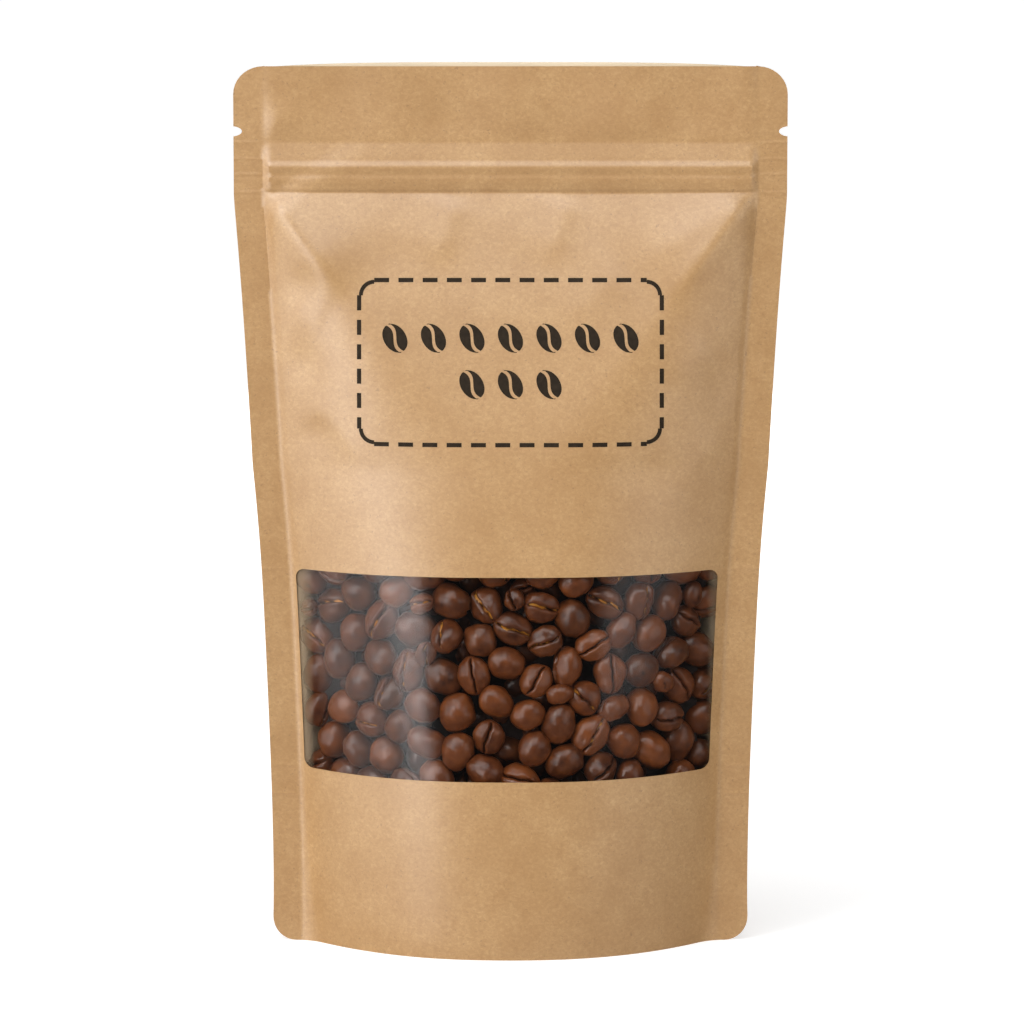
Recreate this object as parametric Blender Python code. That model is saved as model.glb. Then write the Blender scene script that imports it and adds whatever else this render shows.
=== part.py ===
"""Stand-up pouch of kraft paper with a clear window, filled with roasted coffee beans.

Metres, +Z up. The origin is at the middle of the base, +X to the right, the window faces -Y.
Three pieces: the paper pouch, the film behind its window, and the beans inside it.
"""

import math

import bmesh
import bpy
import numpy as np
from mathutils import Euler, Matrix, Vector

MM = 0.001

# The bag, filled and standing
HEIGHT = 209.0  # a 210 mm panel, bowed out by the filling
FLAT_HALF = 65.0  # half of the 130 mm flat width
SEAL = 6.8  # width of each side seal
TOP_RADIUS = 7.0
BASE_RADIUS = 6.0
SHEET = 0.35  # one wall; the real laminate is about 0.15
GAP = 0.3  # between pieces that touch

# The bulge
ZIP_FOOT = 178.5  # the filling bows the panels out below this height
BASE_DEPTH = 24.6  # half depth at the foot
BOW_POWER = 2.2
SHOULDER_MIN = 2.0
SHOULDER_MAX = 50.0
SHOULDER_SLOPE = 0.75
CHEEK_POWER = 2.5
WAIST = 0.55  # the side edges are drawn in a little more above the window
WAIST_Z = 98.0
WAIST_REACH = 28.0
SEAL_BEND = 1.2
FOOT_BEND = 4.5

# Zip band and lips: height, half thickness
ZIP_PROFILE = (
    (ZIP_FOOT, 0.55),
    (178.9, 0.55),
    (180.9, 1.1),
    (182.6, 0.95),
    (183.3, 0.95),
    (184.2, 1.5),
    (186.3, 1.05),
    (190.4, 0.85),
    (190.9, 0.65),
    (HEIGHT, 0.65),
)
LIP_SLIT = 0.5
LIP_DROP = 0.9  # the front lip is cut this much lower than the back one
LIP_HALF = 55.0

# Tear notches
NOTCH_Z = 192.9
NOTCH_DEPTH = 2.0
NOTCH_HALF = 1.15

# Window
WINDOW_BOTTOM = 42.2
WINDOW_TOP = 89.8
WINDOW_EDGE = 2.5  # from the inner edge of the side seal
WINDOW_SHIFT = -0.8  # the window sits a little left of the middle
WINDOW_CORNER = 2.0
FILM = 0.3
FILM_LAP = 3.0  # film behind paper, above and below
FILM_SIDE = 1.45

# Bottom gusset
GUSSET_LOW = 6.0  # its height over the ground in the middle
GUSSET_HIGH = 38.0  # the height of its fold at the side seals
GUSSET_POWER = 2.6

# Filling
FILL_TOP = 122.0
FILL_EDGE = 2.2
CORE_BACK = 3.8  # the core stays this far behind the film, where beans show
ROOM_EDGE = 2.1
BEAN_LENGTH = 9.8
BEAN_WIDTH = 8.2
BEAN_THICK = 6.0
BEAN_GROOVE = 0.9
BEAN_PITCH = 8.7
SEED = 7


def remove_everything():
    for item in list(bpy.data.objects):
        bpy.data.objects.remove(item, do_unlink=True)


def surface(name, colour, roughness, alpha=1.0):
    material = bpy.data.materials.new(name)
    material.use_nodes = True
    shader = material.node_tree.nodes["Principled BSDF"]
    shader.inputs["Base Color"].default_value = (*colour, 1.0)
    shader.inputs["Roughness"].default_value = roughness
    shader.inputs["Metallic"].default_value = 0.0
    shader.inputs["Alpha"].default_value = alpha
    return material


def kraft_paper():
    return surface("kraft_paper", (0.53, 0.33, 0.15), 0.8)


def clear_film():
    return surface("clear_film", (0.8, 0.8, 0.78), 0.1, 0.35)


def roasted_coffee():
    return surface("roasted_coffee", (0.1, 0.035, 0.015), 0.45)


# Form of the bag: every size is in millimetres, x from the middle, z from the ground.


def swell(z):
    """Half depth that the filling gives the bag at height z."""
    if z >= ZIP_FOOT:
        return 0.0
    low = max(z, 0.0)
    return BASE_DEPTH * (1.0 - (low / ZIP_FOOT) ** BOW_POWER) - math.exp(-low / 6.0)


def shoulder(z):
    """Width over which a panel rises from the side seal to its full depth."""
    return min(SHOULDER_MIN + SHOULDER_SLOPE * max(ZIP_FOOT - z, 0.0), SHOULDER_MAX)


def drawn_in(z):
    """How far each side edge is pulled in, because the bowed panels keep their width."""
    steps = (np.arange(40) + 0.5) / 40
    slope = CHEEK_POWER * swell(z) / shoulder(z) * (1 - steps) ** (CHEEK_POWER - 1)
    taken_up = float(((np.sqrt(1 + slope**2) - 1) * shoulder(z)).mean())
    return taken_up * 1.06 + WAIST * math.exp(-(((z - WAIST_Z) / WAIST_REACH) ** 2))


def seal_x(z):
    """Inner edge of the side seal."""
    return FLAT_HALF - SEAL - drawn_in(z)


def edge_x(z):
    """Outer edge of the bag, with its rounded corners."""
    x = seal_x(z) + SEAL
    up = z - (HEIGHT - TOP_RADIUS)
    down = BASE_RADIUS - z
    if up > 0:
        x -= TOP_RADIUS - math.sqrt(max(TOP_RADIUS**2 - up**2, 0.0))
    if down > 0:
        x -= BASE_RADIUS - math.sqrt(max(BASE_RADIUS**2 - min(down, BASE_RADIUS) ** 2, 0.0))
    return x


def zip_relief(z):
    heights, halves = zip(*ZIP_PROFILE)
    return float(np.interp(z, heights, halves))


def half_depth(x, z):
    """Half thickness of the bag at x, z."""
    inside = seal_x(z) - abs(x)
    if inside <= 0:
        return SHEET
    if z >= ZIP_FOOT:
        return SHEET + (zip_relief(z) - SHEET) * min(inside / SHOULDER_MIN, 1.0)
    bend = SEAL_BEND + FOOT_BEND * math.exp(-max(z, 0.0) / 12.0)
    run = inside**2 / (2 * bend) if inside < bend else inside - bend / 2
    rise = min(run / shoulder(z), 1.0)
    flat = zip_relief(ZIP_FOOT) - SHEET
    return SHEET + flat * min(inside / SHOULDER_MIN, 1.0) + swell(z) * (1 - (1 - rise) ** CHEEK_POWER)


def inset(x, z, distance):
    """Half thickness of a body that stays `distance` inside the bag's surface."""
    step = 0.4
    slope_x = (half_depth(abs(x) + step, z) - half_depth(max(abs(x) - step, 0.0), z)) / (2 * step)
    slope_z = (half_depth(x, z + step) - half_depth(x, max(z - step, 0.0))) / (2 * step)
    return half_depth(x, z) - distance * math.sqrt(1 + slope_x**2 + slope_z**2)


def gusset_z(x, z=20.0):
    """Height of the gusset sheet: low in the middle, up to its fold at the side seals."""
    share = min(abs(x) / seal_x(z), 1.0)
    return GUSSET_LOW + (GUSSET_HIGH - GUSSET_LOW) * share**GUSSET_POWER


# Building helpers


def new_object(name, bm, material=None):
    bmesh.ops.recalc_face_normals(bm, faces=bm.faces)
    bmesh.ops.scale(bm, vec=(MM, MM, MM), verts=bm.verts)
    mesh = bpy.data.meshes.new(name)
    bm.to_mesh(mesh)
    bm.free()
    item = bpy.data.objects.new(name, mesh)
    bpy.context.scene.collection.objects.link(item)
    if material:
        mesh.materials.append(material)
        mesh.shade_smooth()
        mesh.set_sharp_from_angle(angle=math.radians(35))
    return item


def as_cutter(item):
    item.hide_render = True
    item.display_type = "WIRE"
    return item


def cut(item, cutter):
    boolean = item.modifiers.new("cut " + cutter.name, "BOOLEAN")
    boolean.operation = "DIFFERENCE"
    boolean.object = as_cutter(cutter)


def bent_sheets(columns, rows, front, back):
    """A closed body between two grids; front and back place a grid point (column, row)."""
    bm = bmesh.new()
    rims = []
    for place in (front, back):
        made = bmesh.ops.create_grid(bm, x_segments=columns, y_segments=rows, size=1.0)["verts"]
        rims += {e for v in made for e in v.link_edges if e.is_boundary}
        for vert in made:
            column = round((vert.co.x + 1) / 2 * columns)
            row = round((vert.co.y + 1) / 2 * rows)
            vert.co = Vector(place(column, row))
    bmesh.ops.bridge_loops(bm, edges=rims)
    return bm


def spread(count, power=1.0):
    """Shares from -1 to 1, closer together near the ends for a power under 1."""
    steps = np.linspace(-1, 1, count + 1)
    return np.sign(steps) * np.abs(steps) ** power


# The paper pouch


def body_levels():
    """Heights of the bulged part, closer together under the zip."""
    low = list(np.linspace(14.0, 146.0, 12))
    return low + [154.0, 161.0, 167.0, 172.0, 175.5, ZIP_FOOT]


def pouch_levels():
    corner = [BASE_RADIUS * (1 - math.cos(a)) for a in np.linspace(0, math.pi / 2, 5)]
    body = body_levels()
    band = [z for z, _ in ZIP_PROFILE[1:-1]]
    top = [HEIGHT - TOP_RADIUS * (1 - math.sin(a)) for a in np.linspace(0, math.pi / 2, 6)]
    return corner + body + band + top


def pouch_body():
    levels = pouch_levels()
    inner = spread(26, 0.8)
    columns = len(inner) + 1
    def place(column, row, side):
        z = levels[row]
        if column in (0, columns):
            x = math.copysign(edge_x(z), column - 1)
        else:
            x = inner[column - 1] * min(seal_x(z), edge_x(z) - 0.3)
        drop = LIP_DROP * max(1 - (x / LIP_HALF) ** 4, 0.0) if row == len(levels) - 1 and side < 0 else 0.0
        return x, side * half_depth(x, z), z - drop
    body = bent_sheets(
        columns,
        len(levels) - 1,
        lambda c, r: place(c, r, -1),
        lambda c, r: place(c, r, 1),
    )
    return new_object("pouch", body, kraft_paper())


def hollow(name, low, high, levels, edge):
    """The room between the walls, from height low(x) to high(x), with rows at these levels."""
    shares = spread(26, 0.8)
    ups = (np.array(levels) - levels[0]) / (levels[-1] - levels[0])
    def place(column, row, side):
        x0 = shares[column] * (seal_x(20.0) - edge)
        z = low(x0) + (high(x0) - low(x0)) * ups[row]
        x = shares[column] * (seal_x(z) - edge)
        return x, side * max(inset(x, z, SHEET), 0.2), z
    bm = bent_sheets(
        len(shares) - 1,
        len(levels) - 1,
        lambda c, r: place(c, r, -1),
        lambda c, r: place(c, r, 1),
    )
    return new_object(name, bm)


def prism(name, outline, y0, y1):
    """A body of this x, z outline from y0 to y1."""
    bm = bmesh.new()
    face = bm.faces.new([bm.verts.new((x, y0, z)) for x, z in outline])
    made = bmesh.ops.extrude_face_region(bm, geom=[face])["geom"]
    moved = [v for v in made if isinstance(v, bmesh.types.BMVert)]
    bmesh.ops.translate(bm, vec=(0, y1 - y0, 0), verts=moved)
    return new_object(name, bm)


def window_side(z):
    return seal_x(z) - WINDOW_EDGE


def window_outline():
    right = []
    turns = np.linspace(0, math.pi / 2, 5)
    for a in turns:
        z = WINDOW_BOTTOM + WINDOW_CORNER * (1 - math.cos(a))
        right.append((window_side(z) - WINDOW_CORNER * (1 - math.sin(a)), z))
    for z in np.linspace(WINDOW_BOTTOM, WINDOW_TOP, 6)[1:-1]:
        right.append((window_side(z), z))
    for a in reversed(turns):
        z = WINDOW_TOP - WINDOW_CORNER * (1 - math.cos(a))
        right.append((window_side(z) - WINDOW_CORNER * (1 - math.sin(a)), z))
    outline = right + [(-x, z) for x, z in reversed(right)]
    return [(x + WINDOW_SHIFT, z) for x, z in outline]


def lip_slit():
    half = seal_x(HEIGHT) - 2.0
    foot = ZIP_PROFILE[-2][0] + 1.0
    outline = [(-half, foot), (half, foot), (half, HEIGHT + 2), (-half, HEIGHT + 2)]
    return prism("lip slit", outline, -LIP_SLIT / 2, LIP_SLIT / 2)


def tear_notch(side):
    bm = bmesh.new()
    bmesh.ops.create_cone(
        bm,
        cap_ends=True,
        segments=14,
        radius1=1.0,
        radius2=1.0,
        depth=6.0,
        matrix=Matrix.Rotation(math.pi / 2, 4, "X"),
    )
    bmesh.ops.scale(bm, vec=(NOTCH_DEPTH, 1.0, NOTCH_HALF), verts=bm.verts)
    bmesh.ops.translate(bm, vec=(side * edge_x(NOTCH_Z), 0.0, NOTCH_Z), verts=bm.verts)
    return new_object("notch right" if side > 0 else "notch left", bm)


def make_pouch():
    pouch = pouch_body()
    half = SHEET / 2
    levels = body_levels()
    cut(pouch, hollow("room", lambda x: gusset_z(x) + half, lambda x: ZIP_FOOT - 1.5, levels, 0.9))
    cut(pouch, hollow("under gusset", lambda x: -3.0, lambda x: gusset_z(x) - half, range(6), 1.4))
    cut(pouch, prism("window cut", window_outline(), -40.0, 0.0))
    cut(pouch, lip_slit())
    cut(pouch, tear_notch(1))
    cut(pouch, tear_notch(-1))
    return pouch


# The film behind the window


def make_film():
    columns = 22
    rows = 8
    shares = spread(columns, 0.85)
    def place(column, row, back):
        z = WINDOW_BOTTOM - FILM_LAP + (WINDOW_TOP - WINDOW_BOTTOM + 2 * FILM_LAP) * row / rows
        x = shares[column] * (seal_x(z) - FILM_SIDE)
        return x, -inset(x, z, SHEET + GAP + back), z
    film = bent_sheets(
        columns,
        rows,
        lambda c, r: place(c, r, 0.0),
        lambda c, r: place(c, r, FILM),
    )
    return new_object("window", film, clear_film())


# The filling


def fill_depth(x, z, side):
    """How far the core reaches to the front or the back."""
    skin = SHEET + 2 * GAP + FILM
    if side > 0:
        return inset(x, z, skin)
    above = max(z - (WINDOW_TOP + 4.0), 0.0)
    below = max(WINDOW_BOTTOM - 4.0 - z, 0.0)
    near = min((above + below) / 4.0, 1.0)
    return inset(x, z, skin + CORE_BACK * (1 - near))


def core():
    rows = 12
    shares = spread(16, 0.85)
    def place(column, row, side):
        x0 = shares[column] * (seal_x(20.0) - FILL_EDGE)
        low = gusset_z(x0) + SHEET / 2 + GAP
        top = FILL_TOP - 6.0 * (x0 / 50.0) ** 2
        z = low + (top - low) * row / rows
        x = shares[column] * (seal_x(z) - FILL_EDGE)
        return x, side * max(fill_depth(x, z, side), 0.3), z
    return bent_sheets(
        len(shares) - 1,
        rows,
        lambda c, r: place(c, r, -1),
        lambda c, r: place(c, r, 1),
    )


def bean_places(random):
    """Loosely packed places in the window, as x and z."""
    half = window_side(WINDOW_TOP) + 1.0
    rise = BEAN_PITCH * 0.87
    rows = int((WINDOW_TOP - WINDOW_BOTTOM) / rise) + 1
    places = []
    for row in range(rows):
        z = WINDOW_BOTTOM - 0.5 + row * rise
        start = -half + (row % 2) * BEAN_PITCH / 2
        for x in np.arange(start, half, BEAN_PITCH):
            places.append((x + random.uniform(-1.3, 1.3), z + random.uniform(-1.1, 1.1)))
    places = np.array(places)
    for _ in range(30):
        apart = places[:, None] - places[None]
        far = np.linalg.norm(apart, axis=2) + np.eye(len(places)) * 99
        push = np.clip(BEAN_PITCH * 0.97 - far, 0, None)[..., None] * apart / far[..., None]
        places = places + 0.3 * push.sum(axis=1)
    return places


def held_in_room(x, y, z):
    """The nearest point that is clear of the film and the walls."""
    side = seal_x(z) - ROOM_EDGE
    x = min(max(x, -side), side)
    front = max(inset(x, z, SHEET + 2 * GAP + FILM), 0.2)
    back = max(inset(x, z, SHEET + GAP), 0.2)
    return x, min(max(y, -front), back), z


def one_bean(bm, turn, move, size):
    """A rounded body with a furrow along its flat side, which looks to -Y."""
    made = bmesh.ops.create_uvsphere(bm, u_segments=8, v_segments=4, radius=0.5)["verts"]
    for vert in made:
        furrow = vert.co.y < -0.2 and abs(vert.co.x) < 0.02
        flat = min(max(-vert.co.y, 0.0) / 0.5, 1.0)
        vert.co.y *= 1 - 0.25 * flat
        vert.co = Vector((vert.co.x * BEAN_WIDTH, vert.co.y * BEAN_THICK, vert.co.z * BEAN_LENGTH)) * size
        if furrow:
            vert.co.y += BEAN_GROOVE
    bmesh.ops.rotate(bm, matrix=turn.to_matrix(), verts=made)
    bmesh.ops.translate(bm, vec=move, verts=made)
    for vert in made:
        vert.co = Vector(held_in_room(*vert.co))


def beans_that_show():
    random = np.random.default_rng(SEED)
    heap = bpy.data.collections.new("beans that show")
    bpy.context.scene.collection.children.link(heap)
    for index, (x, z) in enumerate(bean_places(random)):
        size = random.uniform(0.9, 1.06)
        roll = math.pi * (random.random() < 0.45)
        turn = Euler((random.uniform(-0.4, 0.4), random.uniform(0, math.pi), roll + random.uniform(-0.5, 0.5)))
        x = float(np.clip(x, -seal_x(z) + 6.2, seal_x(z) - 6.2))
        back = SHEET + 2 * GAP + FILM
        reach = BEAN_THICK / 2 * size + random.uniform(0.0, 0.9)
        y = -inset(x, z, back + reach)
        bm = bmesh.new()
        one_bean(bm, turn, Vector((x, y, z)), size)
        item = new_object("bean %d" % index, bm)
        bpy.context.scene.collection.objects.unlink(item)
        heap.objects.link(item)
    return heap


def apply_modifiers(item):
    view = bpy.context.evaluated_depsgraph_get()
    mesh = bpy.data.meshes.new_from_object(item.evaluated_get(view))
    item.modifiers.clear()
    item.data = mesh


def keep_outer_shell(mesh):
    """Drops loose scraps and fills what the joining sealed: only the largest shell stays."""
    bm = bmesh.new()
    bm.from_mesh(mesh)
    left = set(bm.verts)
    shells = []
    while left:
        front = [left.pop()]
        shell = set(front)
        while front:
            vert = front.pop()
            near = {e.other_vert(vert) for e in vert.link_edges} & left
            left -= near
            shell |= near
            front += near
        shells.append(shell)
    shells.sort(key=len)
    for shell in shells[:-1]:
        bmesh.ops.delete(bm, geom=list(shell), context="VERTS")
    bm.to_mesh(mesh)
    bm.free()


def make_beans():
    beans = new_object("beans", core(), roasted_coffee())
    heap = beans_that_show()
    joined = beans.modifiers.new("join beans", "BOOLEAN")
    joined.operation = "UNION"
    joined.operand_type = "COLLECTION"
    joined.collection = heap
    joined.solver = "MANIFOLD"
    apply_modifiers(beans)
    keep_outer_shell(beans.data)
    for item in list(heap.objects):
        bpy.data.objects.remove(item, do_unlink=True)
    bpy.data.collections.remove(heap)
    return beans


remove_everything()
make_pouch()
make_film()
make_beans()
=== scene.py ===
# %% [markdown]
# # A stand-up pouch of coffee beans
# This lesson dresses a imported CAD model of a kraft-paper pouch. The CAD part gives true sizes and
# weight, and stays plain. Here its three solids are replaced by what they stand for: thin paper,
# clear film and a heap of roasted beans. Everything is worked out in millimetres and turned to
# metres at the end, in the same frame as the CAD model.

import math

import bmesh
import bpy
import numpy as np
from mathutils import Matrix, Vector


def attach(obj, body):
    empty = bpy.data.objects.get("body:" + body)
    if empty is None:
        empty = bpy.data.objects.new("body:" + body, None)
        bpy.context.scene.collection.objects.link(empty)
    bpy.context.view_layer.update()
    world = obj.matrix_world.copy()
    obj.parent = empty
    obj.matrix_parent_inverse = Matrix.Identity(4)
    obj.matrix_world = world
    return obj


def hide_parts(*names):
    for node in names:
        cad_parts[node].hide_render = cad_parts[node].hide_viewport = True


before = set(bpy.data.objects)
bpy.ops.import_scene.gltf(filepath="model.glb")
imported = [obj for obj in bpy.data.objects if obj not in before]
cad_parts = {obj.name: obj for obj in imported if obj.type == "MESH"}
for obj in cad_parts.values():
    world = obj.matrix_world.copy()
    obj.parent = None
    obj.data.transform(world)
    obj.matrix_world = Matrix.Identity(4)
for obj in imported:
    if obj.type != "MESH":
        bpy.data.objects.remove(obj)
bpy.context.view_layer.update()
MM = 0.001

# %% [markdown]
# ## The form of the bag
# A filled pouch is two flat sheets joined at their sides. The filling pushes them apart, most at
# the foot, and the press zip holds them flat at the top. So its form is one function: the half
# thickness at each x and z. Paper can't stretch, so where the panels bow out, the side edges are
# drawn in. The same named sizes shape the CAD solids. Arrays go in and arrays come out, because
# numpy is much quicker than a loop over every point.

# %% Named sizes in millimetres
HEIGHT = 209.0
FLAT_HALF = 65.0
SEAL = 6.8
TOP_RADIUS = 7.0
BASE_RADIUS = 6.0
ZIP_FOOT = 178.5
BASE_DEPTH = 24.6
BOW_POWER = 2.2
SHOULDER_MIN = 2.0
SHOULDER_MAX = 50.0
SHOULDER_SLOPE = 0.75
CHEEK_POWER = 2.5
WAIST = 0.55
WAIST_Z = 98.0
WAIST_REACH = 28.0
SEAL_BEND = 1.2
FOOT_BEND = 4.5
FOOT_REACH = 12.0
FOOT_ROUNDING = 6.0
DRAWN_IN_FACTOR = 1.06
SEAL_HALF = 0.24
PAPER = 0.28
WINDOW_BOTTOM = 42.2
WINDOW_TOP = 89.8
WINDOW_SHIFT = -0.9
WINDOW_EDGE = 2.2
WINDOW_CORNER = 2.2
NOTCH_Z = 192.9
LIP_DROP = 0.9
LIP_HALF = 55.0


# %% Side edges
def swell(z):
    """Half depth that the filling gives at height z."""
    low = np.clip(z, 0.0, ZIP_FOOT)
    return BASE_DEPTH * (1 - (low / ZIP_FOOT) ** BOW_POWER) - np.exp(-low / FOOT_ROUNDING)


def shoulder(z):
    """Width over which a panel rises from the side seal."""
    return np.clip(SHOULDER_MIN + SHOULDER_SLOPE * (ZIP_FOOT - z), SHOULDER_MIN, SHOULDER_MAX)


def drawn_in(z):
    """How far the side edges come in, because bowed paper keeps its width."""
    z = np.asarray(z, float)[..., None]
    steps = (np.arange(40) + 0.5) / 40
    slope = CHEEK_POWER * swell(z) / shoulder(z) * (1 - steps) ** (CHEEK_POWER - 1)
    taken_up = ((np.sqrt(1 + slope**2) - 1) * shoulder(z)).mean(axis=-1)
    waist = WAIST * np.exp(-(((z[..., 0] - WAIST_Z) / WAIST_REACH) ** 2))
    return taken_up * DRAWN_IN_FACTOR + waist


HEIGHTS = np.linspace(-5.0, HEIGHT, 429)
SEAL_LINE = FLAT_HALF - SEAL - drawn_in(HEIGHTS)


def seal_x(z):
    """Where the side seal begins, as a distance from the middle."""
    return np.interp(z, HEIGHTS, SEAL_LINE)


def edge_x(z):
    """Outer edge, with the rounded corners."""
    up = np.clip(np.asarray(z, float) - (HEIGHT - TOP_RADIUS), 0, TOP_RADIUS)
    down = np.clip(BASE_RADIUS - np.asarray(z, float), 0, BASE_RADIUS)
    round_off = TOP_RADIUS - np.sqrt(TOP_RADIUS**2 - up**2)
    return seal_x(z) + SEAL - round_off - (BASE_RADIUS - np.sqrt(BASE_RADIUS**2 - down**2))


print("half width at the foot, window and top:", [round(float(edge_x(z)), 1) for z in (6, 66, 190)])

# %% [markdown]
# ## Zip band and half thickness
# The press zip inside the bag shows through the paper as a raised band: a step, a gentle slope, a
# rib, a second slope and a step down. Each face of it catches the light from above in its own way,
# so the profile is given as heights and half thicknesses. In the side seals the zip is crushed
# flat and leaves only hairlines. Below the zip the same step is carried on, and it fades towards
# the filled part, where the panels are pushed apart anyway.

# %% Half thickness
ZIP_STEP = 0.95
ZIP_PROFILE = np.array(
    # height, half thickness
    [(ZIP_FOOT - 0.4, ZIP_STEP), (178.8, ZIP_STEP), (179.2, 1.2), (180.9, 1.46), (181.9, 1.52)]
    + [(182.6, 1.42), (182.9, 1.43), (184.2, 1.62), (184.7, 1.62), (186.1, 1.15), (186.4, 1.12)]
    + [(190.0, 0.45), (190.3, 0.4), (HEIGHT, 0.36)]
)
SEAL_LINES = (190.3, 186.4, 182.8, 178.6, 89.6, 42.3, 35.6)
RELIEF_EDGE = 1.4
SETTLED_FROM = 60.0
SETTLED_STEP = 0.5
STIFF_FROM = 90.0
STIFF_REACH = 80.0
STIFF_FALL = 0.9


def zip_relief(z):
    """The band's profile, eased by averaging over its neighbourhood."""
    return sum(np.interp(z + d, ZIP_PROFILE[:, 0], ZIP_PROFILE[:, 1]) for d in (-0.16, 0, 0.16)) / 3


def half_depth(x, z):
    """Half thickness of the bag, without its creases."""
    inside = np.maximum(seal_x(z) - np.abs(x), 0.0)
    bend = SEAL_BEND + FOOT_BEND * np.exp(-np.maximum(z, 0.0) / FOOT_REACH)
    run = np.where(inside < bend, inside**2 / (2 * bend), inside - bend / 2)
    rise = np.minimum(run / shoulder(z), 1.0)
    high = np.clip((z - STIFF_FROM) / STIFF_REACH, 0.0, 1.0)
    power = CHEEK_POWER - STIFF_FALL * high * high
    bulge = swell(z) * (1 - (1 - rise) ** power)
    up = np.clip((z - SETTLED_FROM) / (ZIP_FOOT - SETTLED_FROM), 0.0, 1.0)
    settled = (ZIP_STEP - SETTLED_STEP) * (1 - up)
    relief = zip_relief(np.maximum(z, ZIP_FOOT)) - SEAL_HALF - settled
    return SEAL_HALF + relief * np.minimum(inside / RELIEF_EDGE, 1.0) + bulge


print("half thickness at the foot, window and zip:", half_depth(0.0, np.array([6, 66, 184])).round(1))


# %% [markdown]
# ## Creases
# Stiff paper bends sharply in places. A crease is a line with a crest: the surface stands out
# along it and falls away on both sides, more steeply on one. A dent or swelling is a soft round
# hill. Both are small numbers added to the half thickness of the front panel, in millimetres.
# They could be sculpted by hand, but a table of numbers is quick to change and always the same.

# %% Creases of the front panel
CREASES = (
    # from x, z, to x, z, height, fall to the left, fall to the right
    (-57.0, 178.5, -38.0, 153.0, 1.8, 5.5, 9.0),
    (57.0, 178.5, 28.0, 161.0, 0.6, 9.0, 8.0),
    (57.0, 178.5, 36.0, 151.0, 1.0, 7.0, 3.5),
    (28.0, 161.0, 8.0, 146.0, 0.3, 8.0, 8.0),
    (-12.5, 178.0, -17.5, 160.0, 0.45, 8.0, 2.6),
    (14.0, 178.0, 8.0, 160.0, 0.4, 7.0, 2.6),
    (-48.0, 131.0, -30.0, 113.0, 0.5, 4.0, 5.0),
    (-51.5, 150.5, -43.0, 147.0, 0.4, 4.0, 4.0),
    (50.0, 122.0, 38.0, 109.0, 0.4, 5.0, 4.0),
    (46.0, 143.0, 36.0, 134.0, 0.35, 5.0, 4.0),
    (-58.0, 191.4, -50.5, 200.5, 0.18, 1.8, 2.2),
)
SWELLINGS = (
    # x, z, reach across, reach up, height
    (-49.0, 157.0, 4.0, 5.0, -0.5),
    (-48.5, 138.5, 4.0, 5.0, -0.5),
    (-46.0, 122.0, 4.5, 4.5, -0.4),
    (49.0, 134.0, 4.0, 7.0, -0.5),
    (45.0, 102.0, 5.0, 6.0, -0.35),
    (31.0, 113.0, 6.0, 5.0, -0.3),
    (-20.0, 168.0, 10.0, 9.0, 0.2),
)
print(len(CREASES), "creases and", len(SWELLINGS), "dents and swellings")

# %% Surface of the front panel
CREST_ROUND = 1.4
CREST_TOP = 1.18
CREASE_MARGIN = 3.0
HEADER_FOOT = 191.0
LINE_HEIGHT = 0.09
LINE_WIDTH = 0.3


def crease(x, z, x0, z0, x1, z1, height, left, right):
    """How far one crease lifts the paper."""
    along = np.array([x1 - x0, z1 - z0])
    length = np.hypot(*along)
    along = along / length
    t = ((x - x0) * along[0] + (z - z0) * along[1]) / length
    across = (x - x0) * -along[1] + (z - z0) * along[0]
    across = across * np.sign(-along[1])
    reach = np.where(across < 0, left, right)
    crest = np.sqrt(across**2 + CREST_ROUND) - CREST_TOP
    ends = np.clip(t * 5, 0, 1) * np.clip((1 - t) * 2.2, 0, 1)
    return height * np.exp(-crest / reach) * ends * ends * (3 - 2 * ends)


def front_depth(x, z):
    """Half thickness of the front: the form, its creases and its soft dents."""
    inside = np.clip((seal_x(z) - np.abs(x)) / CREASE_MARGIN, 0, 1)
    extra = sum(crease(x, z, *line) for line in CREASES)
    for x0, z0, wide, tall, height in SWELLINGS:
        extra = extra + height * np.exp(-(((x - x0) / wide) ** 2) - ((z - z0) / tall) ** 2)
    # the free header is wavier than the taut panel under the zip
    header = np.clip((z - HEADER_FOOT) / 4, 0, 1)
    waves = np.sin(x / 6.5 + z / 9 + 1.2) * np.sin(x / 14 - z / 7.5) * (0.05 + 0.32 * header)
    waves = waves + 0.06 * np.sin(x / 9.5 - z / 13 + 0.6) * np.sin(z / 11 + x / 31) * (z < ZIP_FOOT)
    return half_depth(x, z) + (extra + waves) * inside


def seal_mark(x, z):
    """Hairlines across the side seals."""
    outside = np.clip((np.abs(x) - seal_x(z)) / 0.6, 0, 1)
    return sum(LINE_HEIGHT * np.exp(-(((z - h) / LINE_WIDTH) ** 2)) for h in SEAL_LINES) * outside


def slopes(depth, x, z, step=0.5):
    """How steeply a half thickness changes across and up."""
    across = (depth(x + step, z) - depth(x - step, z)) / (2 * step)
    return across, (depth(x, z + step) - depth(x, z - step)) / (2 * step)


def inset(depth, x, z, distance):
    """The half thickness of something this far inside a panel."""
    across, up = slopes(depth, x, z)
    return depth(x, z) - distance * np.sqrt(1 + across**2 + up**2)


print("front stands out", round(float(front_depth(0.0, 20.0)), 1), "mm at the foot")

# %% [markdown]
# ## Materials
# Colours are written as the sRGB hex values a designer would use, and one function turns them to
# the linear values that Cycles needs. One helper adds a node of any kind, with its settings, its
# links and, for a colour ramp, its stops. Materials could be drawn by hand in the node editor, but
# a few lines of text are easier to read and repeat.


# %% Colour and node helpers
def linear(hex_colour):
    """An sRGB hex colour as linear red, green, blue and alpha."""
    parts = [int(hex_colour[i : i + 2], 16) / 255 for i in (1, 3, 5)]
    return tuple(c / 12.92 if c <= 0.04045 else ((c + 0.055) / 1.055) ** 2.4 for c in parts) + (1.0,)


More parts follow.
